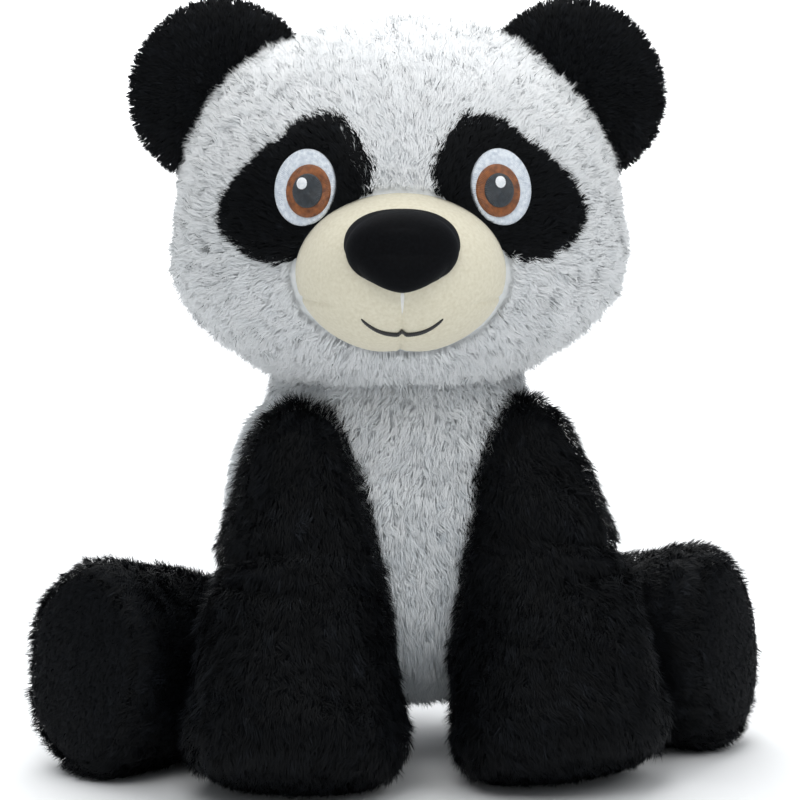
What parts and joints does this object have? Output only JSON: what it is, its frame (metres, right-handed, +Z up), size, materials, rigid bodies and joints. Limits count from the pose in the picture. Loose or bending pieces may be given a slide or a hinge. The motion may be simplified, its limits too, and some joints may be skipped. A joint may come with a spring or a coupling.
{
  "type": "plush panda",
  "caption": "Seated plush panda with a round turning head, embroidered eyes, a velour muzzle, folding ears, standing front legs and splayed hind legs with soft soles.",
  "frame": {"origin": "centre of the bounding box in plan, on the surface that the toy sits on", "axes": "+Z up, the body faces -Y, +X is the toy's own left"},
  "size_m": [0.2398, 0.1534, 0.2405],
  "materials": {
    "white_plush": "matte",
    "black_plush": "matte",
    "short_black_plush": "matte",
    "sole_plush": "matte",
    "velour": "matte",
    "nose_velvet": "matte",
    "white_thread": "matte",
    "brown_thread": "matte",
    "slate_thread": "matte",
    "black_thread": "matte",
    "stuffing": "matte",
    "pouch_cloth": "matte",
    "pellets": "matte"
  },
  "bodies": {
    "torso": {"belly_panel": "white_plush", "back_left_panel": "white_plush", "back_right_panel": "white_plush", "body_stuffing": "stuffing", "pellet_pouch": "pouch_cloth", "pellets": "pellets", "tail_skin": "white_plush", "tail_stuffing": "stuffing"},
    "neck": {"neck_stuffing": "stuffing"},
    "head": {"face_left_panel": "white_plush", "face_right_panel": "white_plush", "head_back_panel": "white_plush", "head_stuffing": "stuffing", "eye_patch_left": "short_black_plush", "eye_patch_right": "short_black_plush", "eye_white_left": "white_thread", "eye_white_right": "white_thread", "iris_left": "brown_thread", "iris_right": "brown_thread", "pupil_left": "slate_thread", "pupil_right": "slate_thread", "glint_left": "white_thread", "glint_right": "white_thread", "muzzle_skin": "velour", "muzzle_stuffing": "stuffing", "nose_skin": "nose_velvet", "nose_stuffing": "stuffing", "mouth_stitching": "black_thread"},
    "ear_left": {"ear_front_left": "short_black_plush", "ear_back_left": "short_black_plush", "ear_batting_left": "stuffing"},
    "arm_left": {"arm_outer_panel_left": "black_plush", "arm_inner_panel_left": "black_plush", "paw_pad_left": "sole_plush", "arm_stuffing_left": "stuffing"},
    "leg_left": {"leg_upper_panel_left": "black_plush", "leg_lower_panel_left": "black_plush", "foot_sole_left": "sole_plush", "leg_stuffing_left": "stuffing"},
    "ear_right": {"ear_front_right": "short_black_plush", "ear_back_right": "short_black_plush", "ear_batting_right": "stuffing"},
    "arm_right": {"arm_outer_panel_right": "black_plush", "arm_inner_panel_right": "black_plush", "paw_pad_right": "sole_plush", "arm_stuffing_right": "stuffing"},
    "leg_right": {"leg_upper_panel_right": "black_plush", "leg_lower_panel_right": "black_plush", "foot_sole_right": "sole_plush", "leg_stuffing_right": "stuffing"}
  },
  "joints": [
    {"name": "neck_turn", "type": "hinge", "parent": "torso", "child": "neck", "pos_m": [0, 0.0185, 0.104], "axis": [0, 0, 1], "range_deg": [-45, 45]},
    {"name": "head_nod", "type": "hinge", "parent": "neck", "child": "head", "pos_m": [0, 0.0185, 0.104], "axis": [-0.9877, 0.1564, 0], "range_deg": [-10, 15]},
    {"name": "shoulder_left", "type": "hinge", "parent": "torso", "child": "arm_left", "pos_m": [0.034, -0.0085, 0.099], "axis": [-1, 0, 0], "range_deg": [0, 50]},
    {"name": "hip_left", "type": "hinge", "parent": "torso", "child": "leg_left", "pos_m": [0.042, 0.0385, 0.024], "axis": [0, 0, 1], "range_deg": [0, 20]},
    {"name": "ear_fold_left", "type": "hinge", "parent": "head", "child": "ear_left", "pos_m": [0.05187, 0.01029, 0.20982], "axis": [0.5523, -0.0875, -0.829], "range_deg": [-20, 20]},
    {"name": "shoulder_right", "type": "hinge", "parent": "torso", "child": "arm_right", "pos_m": [-0.034, -0.0085, 0.099], "axis": [-1, 0, 0], "range_deg": [0, 50]},
    {"name": "hip_right", "type": "hinge", "parent": "torso", "child": "leg_right", "pos_m": [-0.042, 0.0385, 0.024], "axis": [0, 0, -1], "range_deg": [0, 20]},
    {"name": "ear_fold_right", "type": "hinge", "parent": "head", "child": "ear_right", "pos_m": [-0.05187, 0.02671, 0.20982], "axis": [0.5523, -0.0875, 0.829], "range_deg": [-20, 20]}
  ]
}
